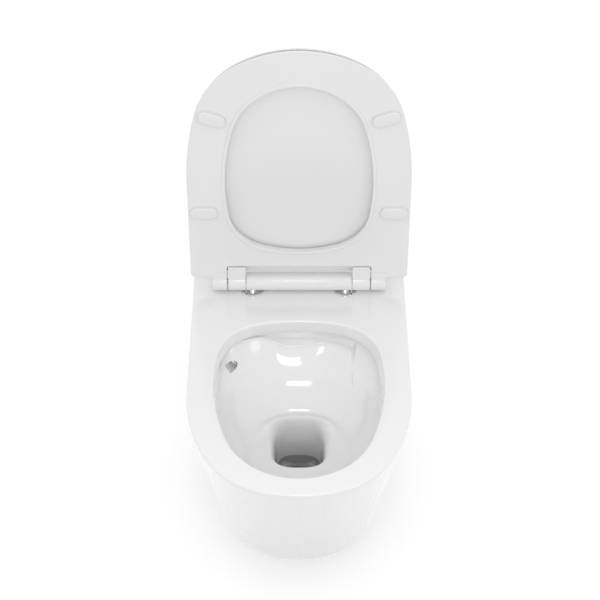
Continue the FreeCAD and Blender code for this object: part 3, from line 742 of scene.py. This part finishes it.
def lies_inside(points, mouth):
    """Which points are on the ware's wetted surface: the throat, the bowl, the jets or the well."""
    x, u, z = points.T
    way, reach = np.arctan2(u - MIDDLE, x), np.hypot(x, u - MIDDLE)
    ring = np.argsort(np.arctan2(mouth[:, 1] - MIDDLE, mouth[:, 0]))
    throat = np.interp(way, np.arctan2(mouth[ring, 1] - MIDDLE, mouth[ring, 0]),
                       np.hypot(mouth[ring, 0], mouth[ring, 1] - MIDDLE), period=2 * np.pi)
    inside = (z < -0.01) & (z > -24.6) & (reach < throat + 4.0)
    # the solid's bowl bulges past its table of sections, most near its floor
    bulge = np.where(z < -138.0, 6.0, 3.0)
    for table, top, bottom, lift in ((CAD_BOWL, -21.0, -150.5, bulge), (WELL, -127.5, -236.4, 0.0)):
        middle, _ = section(table, z + lift, way)
        _, limit = section(table, z + lift, np.arctan2(u - middle, x))
        inside |= (z < top) & (z > bottom) & (np.hypot(x, u - middle) < limit + 3.5)
    for p, q in CAD_JETS:
        long = np.linalg.norm(q - p)
        d = (q - p) / long
        off = points - p
        along = off @ d
        near = np.linalg.norm(off - along[:, None] * d, axis=1) < JET_R + 0.6
        inside |= near & (along > 0) & (along < long + 1.0) & (u < CHAMBER_FRONT - 0.1)
    return inside


def ware(sizes):
    """The whole ware: its solid's own outside, rim and back with the worked bowl set in."""
    rings = bowl_rings(sizes)
    rows, cols = rings.shape[:2]
    points, tris = node_solid("pan")
    keep = ~lies_inside(points[tris].mean(1), rings[6, :, :2])
    tris = tris[keep]
    edges = np.concatenate([tris[:, [0, 1]], tris[:, [1, 2]], tris[:, [2, 0]]])
    _, back, uses = np.unique(np.sort(edges, axis=1), axis=0, return_inverse=True, return_counts=True)
    free = edges[uses[back.reshape(-1)] == 1]
    rim = np.unique(free)
    at_mouth = rim[points[rim, 2] > -0.05]
    at_floor = rim[points[rim, 2] < -235.0]
    # the ring left where the solid's own jet met the flush chamber is closed with a fan
    duct = free[~np.isin(free, np.concatenate([at_mouth, at_floor])).any(axis=1)]
    hub = points[duct[:, 0]].mean(axis=0)
    grid = len(points) + np.arange(rows * cols)
    first, last = grid[:cols], grid[-cols:]

    def way(p, middle):
        return np.arctan2(p[:, 1] - middle, p[:, 0])
    faces = np.concatenate([
        tris,
        zipped(way(points[at_mouth], MIDDLE), at_mouth, way(rings[0], MIDDLE), first),
        zipped(way(rings[-1], 238.0), last, way(points[at_floor], 238.0), at_floor)]).tolist()
    faces += (grid_faces(rows, cols) + len(points)).tolist()
    faces += [(int(b), int(a), len(points) + rows * cols) for a, b in duct]
    return np.concatenate([points, rings.reshape(-1, 3), [hub]]), faces


def jet_tool(start, end, radius):
    """Round cutter between two points, for the flush jet."""
    along = np.subtract(end, start)
    long = np.linalg.norm(along)
    d = along / long
    side = np.cross(d, [0.0, 0.0, 1.0])
    side /= np.linalg.norm(side)
    base = np.stack([side, np.cross(side, d), d])
    verts, faces = turned([0.0, long], [radius, radius], 96)
    return verts @ base + start, faces


# ------------------------------------------------------------------ finishes
def group_tree(name, inputs, outputs):
    """An empty shader group with named inputs (name, default) and outputs (name, kind)."""
    tree = bpy.data.node_groups.new(name, "ShaderNodeTree")
    for label, default in inputs:
        kind = "NodeSocketFloat" if isinstance(default, float) else "NodeSocketColor"
        socket = tree.interface.new_socket(name=label, in_out="INPUT", socket_type=kind)
        socket.default_value = default
    for label, kind in outputs:
        tree.interface.new_socket(name=label, in_out="OUTPUT", socket_type=kind)
    return tree


def add(tree, kind, links=None, **values):
    """A node with its properties and inputs set; links maps an input to the socket it reads."""
    node = tree.nodes.new(kind)
    for key, value in values.items():
        if hasattr(node, key):
            setattr(node, key, value)
        else:
            node.inputs[key.replace("_", " ")].default_value = value
    for key, source in (links or {}).items():
        tree.links.new(source, node.inputs[key])
    return node


def mottle_group():
    """Slow unevenness of a surface: noise at a scale, mapped between a low and a high value."""
    tree = group_tree("Soft Mottle", [("Scale", 12.0), ("Low", 0.05), ("High", 0.1)],
                      [("Value", "NodeSocketFloat")])
    ins = add(tree, "NodeGroupInput").outputs
    where = add(tree, "ShaderNodeTexCoord").outputs["Object"]
    noise = add(tree, "ShaderNodeTexNoise", {"Vector": where, "Scale": ins["Scale"]}, Detail=3.0)
    span = add(tree, "ShaderNodeMapRange", {"Value": noise.outputs[0], "To Min": ins["Low"],
                                            "To Max": ins["High"]}, From_Min=0.32, From_Max=0.68)
    add(tree, "NodeGroupOutput", {"Value": span.outputs[0]})
    return tree


def tint_group():
    """A colour that drifts a little lighter and darker over the surface."""
    tree = group_tree("Colour Drift", [("Colour", (0.8, 0.8, 0.8, 1.0)), ("Scale", 9.0),
                                       ("Amount", 0.02)], [("Colour", "NodeSocketColor")])
    ins = add(tree, "NodeGroupInput").outputs
    where = add(tree, "ShaderNodeTexCoord").outputs["Object"]
    noise = add(tree, "ShaderNodeTexNoise", {"Vector": where, "Scale": ins["Scale"]}, Detail=4.0)
    centred = add(tree, "ShaderNodeMath", {0: noise.outputs[0]}, operation="SUBTRACT")
    centred.inputs[1].default_value = 0.5
    drift = add(tree, "ShaderNodeMath", {0: centred.outputs[0], 1: ins["Amount"]},
                operation="MULTIPLY")
    one = add(tree, "ShaderNodeMath", {0: drift.outputs[0]}, operation="ADD")
    one.inputs[1].default_value = 1.0
    scaled = add(tree, "ShaderNodeVectorMath", {0: ins["Colour"], "Scale": one.outputs[0]},
                 operation="SCALE")
    add(tree, "NodeGroupOutput", {"Colour": scaled.outputs[0]})
    return tree


def ripple_group():
    """Height of a fired glaze or a moulded skin: broad soft waves and a finer orange peel."""
    tree = group_tree("Skin Ripple", [("Broad", 14.0), ("Fine", 160.0), ("Peel", 0.15)],
                      [("Height", "NodeSocketFloat")])
    ins = add(tree, "NodeGroupInput").outputs
    where = add(tree, "ShaderNodeTexCoord").outputs["Object"]
    broad = add(tree, "ShaderNodeTexNoise", {"Vector": where, "Scale": ins["Broad"]}, Detail=1.0)
    fine = add(tree, "ShaderNodeTexNoise", {"Vector": where, "Scale": ins["Fine"]}, Detail=2.0)
    both = add(tree, "ShaderNodeMath", {0: fine.outputs[0], 1: ins["Peel"], 2: broad.outputs[0]},
               operation="MULTIPLY_ADD")
    add(tree, "NodeGroupOutput", {"Height": both.outputs[0]})
    return tree


def turned_group():
    """Fine tool lines round a turned or drawn metal part, broken up by noise."""
    tree = group_tree("Tool Lines", [("Spacing", 900.0), ("Low", 0.2), ("High", 0.35)],
                      [("Value", "NodeSocketFloat")])
    ins = add(tree, "NodeGroupInput").outputs
    where = add(tree, "ShaderNodeTexCoord").outputs["Object"]
    wave = add(tree, "ShaderNodeTexWave", {"Vector": where, "Scale": ins["Spacing"]},
               Distortion=3.0, Detail=2.0)
    span = add(tree, "ShaderNodeMapRange", {"Value": wave.outputs[1], "To Min": ins["Low"],
                                            "To Max": ins["High"]})
    add(tree, "NodeGroupOutput", {"Value": span.outputs[0]})
    return tree


def grouped(tree, group, **values):
    """A shader group placed in a material with its own values."""
    node = tree.nodes.new("ShaderNodeGroup")
    node.node_tree = group
    for key, value in values.items():
        node.inputs[key].default_value = value
    return node


FINISHES = {
    # name: colour, drift, roughness low and high, bump depth in m, peel, metallic, coat, coat roughness
    "glazed_ware": ("glaze", 0.012, 0.08, 0.12, 0.00004, 0.05, 0.0, 1.0, 0.012),
    "seat_moulding": ("moulding", 0.010, 0.10, 0.15, 0.00005, 0.12, 0.0, 0.2, 0.06),
    "hinge_moulding": ("moulding", 0.008, 0.12, 0.18, 0.00005, 0.2, 0.0, 0.1, 0.08),
    "soft_pad": ("pad", 0.015, 0.30, 0.42, 0.00004, 0.5, 0.0, 0.0, 0.1),
    "cap_moulding": ((0.78, 0.78, 0.78), 0.010, 0.14, 0.2, 0.00005, 0.2, 0.0, 0.1, 0.08),
    "damper_case": ((0.11, 0.115, 0.12), 0.10, 0.35, 0.5, 0.00004, 0.6, 0.0, 0.0, 0.1),
    "sleeve_nylon": ((0.62, 0.63, 0.61), 0.05, 0.42, 0.58, 0.00008, 0.5, 0.0, 0.0, 0.1),
    "black_rubber": ((0.025, 0.025, 0.026), 0.2, 0.55, 0.75, 0.00010, 0.7, 0.0, 0.0, 0.1),
    "polished_chrome": ((0.78, 0.79, 0.80), 0.015, 0.03, 0.07, 0.00002, 0.1, 1.0, 0.0, 0.1),
    "zinc_steel": ((0.50, 0.51, 0.52), 0.12, 0.25, 0.42, 0.00003, 0.5, 1.0, 0.0, 0.1),
}
SLOT_FINISH = {"ceramic": "glazed_ware", "seat_white": "seat_moulding", "hinge_white": "hinge_moulding",
               "buffer_white": "soft_pad", "cap_white": "cap_moulding", "damper_plastic": "damper_case",
               "nylon": "sleeve_nylon", "rubber": "black_rubber", "chrome": "polished_chrome",
               "steel": "zinc_steel"}


def painted_well_shade(tree, colour):
    """Painted shade in the well: the glaze darkened by depth below the water line, in a round place
    about its middle, standing in for the dark of the deep well under its water.
    """
    spot = add(tree, "ShaderNodeSeparateXYZ",
               {0: add(tree, "ShaderNodeTexCoord").outputs["Object"]})
    back = add(tree, "ShaderNodeMath", {0: spot.outputs[1]}, operation="ADD")
    back.inputs[1].default_value = 0.297
    flat = add(tree, "ShaderNodeCombineXYZ", {"X": spot.outputs[0], "Y": back.outputs[0]})
    reach = add(tree, "ShaderNodeVectorMath", {0: flat.outputs[0]}, operation="LENGTH")
    near = add(tree, "ShaderNodeMapRange", {"Value": reach.outputs["Value"]},
               From_Min=0.0445, From_Max=0.0435)
    # the painted shade begins just under the water line and stops at a set depth, so the pan's
    # underside is not darkened
    under_shade_line = add(tree, "ShaderNodeMapRange", {"Value": spot.outputs[2]},
              From_Min=-0.1205, From_Max=-0.1213)
    above_shade_floor = add(tree, "ShaderNodeMapRange", {"Value": spot.outputs[2]}, From_Min=-0.20, From_Max=-0.19)
    both = add(tree, "ShaderNodeMath", {0: near.outputs[0], 1: under_shade_line.outputs[0]}, operation="MULTIPLY")
    mask = add(tree, "ShaderNodeMath", {0: both.outputs[0], 1: above_shade_floor.outputs[0]}, operation="MULTIPLY")
    mixed = tree.nodes.new("ShaderNodeMix")
    mixed.data_type = "RGBA"
    tree.links.new(mask.outputs[0], mixed.inputs[0])
    tree.links.new(colour, mixed.inputs[6])
    # colour of the painted shade below the water line
    mixed.inputs[7].default_value = (0.40, 0.41, 0.41, 1.0)
    return mixed.outputs[2]


def make_finishes(choice):
    """One material for each slot: drifting colour, uneven roughness, and a rippled skin."""
    mottle, drift, ripple, lines = mottle_group(), tint_group(), ripple_group(), turned_group()
    made = {}
    for name, (base, vary, low, high, depth, peel, metal, coat, coat_r) in FINISHES.items():
        base = getattr(choice, base) if isinstance(base, str) else base
        mat = bpy.data.materials.new(name)
        mat.use_nodes = True
        tree = mat.node_tree
        shader = tree.nodes["Principled BSDF"]
        tint = grouped(tree, drift, Colour=(*base, 1.0), Scale=9.0, Amount=vary)
        rough = (grouped(tree, lines, Spacing=260.0, Low=low, High=high) if name == "zinc_steel"
                 else grouped(tree, mottle, Scale=14.0, Low=low, High=high))
        skin = grouped(tree, ripple, Broad=11.0 if metal == 0 else 40.0, Fine=220.0, Peel=peel)
        bump = add(tree, "ShaderNodeBump", {"Height": skin.outputs[0]}, Strength=1.0, Distance=depth)
        # the glaze takes painted shade in the well below its water line
        shown = tint.outputs[0] if name != "glazed_ware" else painted_well_shade(tree, tint.outputs[0])
        tree.links.new(shown, shader.inputs["Base Color"])
        tree.links.new(rough.outputs[0], shader.inputs["Roughness"])
        tree.links.new(bump.outputs[0], shader.inputs["Normal"])
        shader.inputs["Metallic"].default_value = metal
        shader.inputs["Coat Weight"].default_value = coat
        shader.inputs["Coat Roughness"].default_value = coat_r
        shader.inputs["IOR"].default_value = 1.52
        mat.diffuse_color = (*base, 1.0)
        made[name] = mat
    return made


def finish_of(name):
    """A finish by its name, made with all the others the first time one is asked for."""
    return (bpy.data.materials.get(name)
            or make_finishes(bpy.context.scene.toilet_finish)[name])


# ------------------------------------------------------------------ operators
class Maker(bpy.types.Operator):
    """Shared options of the operators that build the toilet."""
    bl_options = {"REGISTER", "UNDO"}

    @classmethod
    def poll(cls, context):
        return context.scene is not None


class OBJECT_OT_toilet_pan(Maker):
    """Builds the glazed pan round its worked bowl and cuts its flush jet"""
    bl_idname = "object.toilet_pan"
    bl_label = "Pan"

    def execute(self, context):
        pan = piece("pan_ware", [ware(context.scene.toilet_pan)], from_pan_frame, 32.0)
        for jet in JETS:
            cut_away(pan, piece("jet", [jet_tool(*jet)], from_pan_frame), 32.0)
        dress(pan, "pan_body", "ceramic", finish_of("glazed_ware"), "pan")
        return {"FINISHED"}


class OBJECT_OT_toilet_seat(Maker):
    """Builds the seat ring with its bead, its notch and its two outer knuckles"""
    bl_idname = "object.toilet_seat"
    bl_label = "Seat"

    def execute(self, context):
        sizes = context.scene.toilet_seat
        end = knuckle(*SEAT_KNUCKLE, 26.0, -12.0, 1.0, 0.6, 2.5)
        seat = piece("seat_moulding", [seat_plate(sizes), end, flipped(end)], from_seat_frame, 30.0)
        dress(seat, "seat", "seat_white", finish_of("seat_moulding"), "seat_ring")
        return {"FINISHED"}


class OBJECT_OT_toilet_lid(Maker):
    """Builds the crowned lid with its two inner knuckles"""
    bl_idname = "object.toilet_lid"
    bl_label = "Lid"

    def execute(self, context):
        sizes = context.scene.toilet_seat
        end = knuckle(*LID_KNUCKLE, 37.0, -11.0, 11.6, 0.6, 0.6)
        lid = piece("lid_moulding", [lid_plate(sizes), end, flipped(end)], from_seat_frame, 30.0)
        dress(lid, "lid", "seat_white", finish_of("seat_moulding"), "lid")
        return {"FINISHED"}


class OBJECT_OT_toilet_pads(Maker):
    """Builds the soft pads under the seat and under the lid"""
    bl_idname = "object.toilet_pads"
    bl_label = "Pads"

    def execute(self, context):
        crown = context.scene.toilet_seat.pad_crown * 1000
        kinds = (("seat", "seat", PADS, (44.0, 21.0), (SEAT_UNDER, -17.7), 2.0, crown),
                 ("lid", "lid", LID_PADS, (26.0, 11.0), (LID_UNDER, 3.1), 0.8, 0.0))
        for owner, body, places, (long, wide), (base, face), edge, rise in kinds:
            for place, across, forward, turn in places:
                part = pad(across, forward, turn, long, wide, base, face, edge, rise)
                for side, made in (("right", part), ("left", flipped(part))):
                    obj = piece(f"{owner}_pad_{place}_{side}", [made], from_seat_frame, 30.0)
                    dress(obj, body, "buffer_white", finish_of("soft_pad"),
                          f"{owner}_buffer_{place}_{side}")
        return {"FINISHED"}


class OBJECT_OT_toilet_hinge(Maker):
    """Builds the hinge bar and its two chrome discs"""
    bl_idname = "object.toilet_hinge"
    bl_label = "Hinge"

    def execute(self, context):
        sizes = context.scene.toilet_hinge
        bar = piece("hinge_tube", [lying(hinge_tube(87.4, 9.0, sizes.end_round * 1000), AXIS)],
                    from_row_frame, 30.0)
        dress(bar, "pan_body", "hinge_white", finish_of("hinge_moulding"), "hinge_bar")
        for side, name in ((1, "right"), (-1, "left")):
            foot = (side * FIXING_X, AXIS[1], RIM_Z)
            obj = piece("chrome_disc_" + name, [standing(disc(sizes), foot)], from_row_frame, 30.0)
            dress(obj, "pan_body", "chrome", finish_of("polished_chrome"), "hinge_disc_" + name)
        return {"FINISHED"}


class OBJECT_OT_toilet_fittings(Maker):
    """Finishes the fittings whose solids stay as they are"""
    bl_idname = "object.toilet_fittings"
    bl_label = "Fittings"

    def execute(self, context):
        for node in frame["nodes"].values():
            slot = node.data.materials[0].name.split(".")[0]
            node.data.materials[0] = finish_of(SLOT_FINISH[slot])
        return {"FINISHED"}


class OBJECT_OT_toilet_stage(Maker):
    """Builds the floor, the lamps, the room light and the camera"""
    bl_idname = "object.toilet_stage"
    bl_label = "Stage"

    def execute(self, context):
        choice = context.scene.toilet_stage
        floor = bpy.data.meshes.new("floor")
        far, drop = 8.0, -choice.floor_drop
        floor.from_pydata([(-far, -far, drop), (far, -far, drop), (far, far, drop), (-far, far, drop)],
                          [], [(0, 1, 2, 3)])
        ground = bpy.data.objects.new("floor", floor)
        context.scene.collection.objects.link(ground)
        floor.materials.append(floor_finish(choice.background))
        room_light(context.scene, choice)
        for name, place, target, size, power in LAMPS:
            lamp = bpy.data.lights.new(name, "AREA")
            lamp.shape, lamp.size, lamp.size_y, lamp.energy = "RECTANGLE", *size, power
            obj = bpy.data.objects.new(name, lamp)
            obj.location = place
            aim = Vector(target) - Vector(place)
            obj.rotation_euler = aim.to_track_quat("-Z", "Y").to_euler()
            obj.visible_camera, obj.visible_glossy = False, name != "key_panel"
            context.scene.collection.objects.link(obj)
        eye = bpy.data.cameras.new("camera")
        eye.lens, eye.sensor_width, eye.shift_x = 104.22, 36.0, 0.00158
        eye.clip_end = 50.0
        camera = bpy.data.objects.new("camera", eye)
        camera.location = (0.0, -2.21716, 2.05663)
        camera.rotation_euler = (math.radians(47.08), 0.0, 0.0)
        context.scene.collection.objects.link(camera)
        context.scene.camera = camera
        context.scene.view_settings.view_transform = "Standard"
        return {"FINISHED"}


LAMPS = (
    # name, place, target, width and height, watts
    ("key_softbox", (0.0, -2.1, 1.95), (0.0, -0.28, 0.0), (0.6, 0.45), 4.2),
    ("key_panel", (0.0, -2.3, 2.1), (0.0, -0.28, 0.0), (1.9, 1.5), 10.0),
    ("right_strip", (2.2, -2.4, 0.9), (0.0, -0.3, 0.0), (0.5, 1.6), 3.4),
    ("left_strip", (-2.2, -2.0, 1.0), (0.0, -0.3, 0.0), (0.5, 1.4), 0.4),
)


def floor_finish(background):
    """Pale floor: keeps the object's shadow, and is lifted to white for the camera's own rays."""
    mat = bpy.data.materials.new("pale_floor")
    mat.use_nodes = True
    tree = mat.node_tree
    shader = tree.nodes["Principled BSDF"]
    shader.inputs["Base Color"].default_value = (0.62, 0.62, 0.62, 1.0)
    shader.inputs["Roughness"].default_value = 0.9
    shader.inputs["Specular IOR Level"].default_value = 0.0
    lift = add(tree, "ShaderNodeEmission", Strength=background * 0.45)
    both = add(tree, "ShaderNodeAddShader", {0: shader.outputs[0], 1: lift.outputs[0]})
    seen = seen_rays(tree)
    mixed = add(tree, "ShaderNodeMixShader", {0: seen, 1: shader.outputs[0], 2: both.outputs[0]})
    tree.links.new(mixed.outputs[0], tree.nodes["Material Output"].inputs["Surface"])
    return mat


def seen_rays(tree):
    """1 for rays from the camera and for those seen in gloss or through glass."""
    path = add(tree, "ShaderNodeLightPath").outputs
    one = add(tree, "ShaderNodeMath", {0: path["Is Camera Ray"], 1: path["Is Glossy Ray"]},
              operation="MAXIMUM")
    two = add(tree, "ShaderNodeMath", {0: one.outputs[0], 1: path["Is Transmission Ray"]},
              operation="MAXIMUM")
    return two.outputs[0]


def room_light(scene, choice):
    """Even light all round; the camera, gloss and glass see a white backdrop."""
    world = bpy.data.worlds.new("room")
    scene.world = world
    world.use_nodes = True
    tree = world.node_tree
    light = tree.nodes["Background"]
    light.inputs["Color"].default_value = (1.0, 1.0, 1.0, 1.0)
    light.inputs["Strength"].default_value = choice.world_level
    back = add(tree, "ShaderNodeBackground", Strength=choice.background)
    back.inputs["Color"].default_value = (1.0, 1.0, 1.0, 1.0)
    mixed = add(tree, "ShaderNodeMixShader", {0: seen_rays(tree), 1: light.outputs[0],
                                              2: back.outputs[0]})
    tree.links.new(mixed.outputs[0], tree.nodes["World Output"].inputs["Surface"])


class VIEW3D_PT_toilet(bpy.types.Panel):
    """Lists the toilet's pieces and their settings"""
    bl_label = "Wall Hung Toilet"
    bl_idname = "VIEW3D_PT_toilet"
    bl_space_type = "VIEW_3D"
    bl_region_type = "UI"
    bl_category = "Toilet"

    def draw(self, context):
        layout = self.layout
        for title, owner, operators in PANEL:
            box = layout.box()
            box.label(text=title)
            group = getattr(context.scene, owner)
            for key in group.__annotations__:
                box.prop(group, key)
            for idname in operators:
                box.operator(idname)


PANEL = (("Pan", "toilet_pan", ("object.toilet_pan",)),
         ("Seat and lid", "toilet_seat", ("object.toilet_seat", "object.toilet_lid",
                                          "object.toilet_pads")),
         ("Hinge", "toilet_hinge", ("object.toilet_hinge",)),
         ("Finishes", "toilet_finish", ("object.toilet_fittings",)),
         ("Stage", "toilet_stage", ("object.toilet_stage",)))
GROUPS = {"toilet_pan": ToiletPanSettings, "toilet_seat": ToiletSeatSettings,
          "toilet_hinge": ToiletHingeSettings, "toilet_finish": ToiletFinishSettings,
          "toilet_stage": ToiletStageSettings}
CLASSES = (*GROUPS.values(), OBJECT_OT_toilet_pan, OBJECT_OT_toilet_seat, OBJECT_OT_toilet_lid,
           OBJECT_OT_toilet_pads, OBJECT_OT_toilet_hinge, OBJECT_OT_toilet_fittings,
           OBJECT_OT_toilet_stage, VIEW3D_PT_toilet)


def register():
    for cls in CLASSES:
        bpy.utils.register_class(cls)
    for name, cls in GROUPS.items():
        setattr(bpy.types.Scene, name, PointerProperty(type=cls))


def unregister():
    for name in GROUPS:
        delattr(bpy.types.Scene, name)
    for cls in reversed(CLASSES):
        bpy.utils.unregister_class(cls)


def main():
    register()
    bpy.ops.object.toilet_fittings()
    bpy.ops.object.toilet_pan()
    bpy.ops.object.toilet_seat()
    bpy.ops.object.toilet_lid()
    bpy.ops.object.toilet_pads()
    bpy.ops.object.toilet_hinge()
    bpy.ops.object.toilet_stage()


if __name__ == "__main__":
    main()
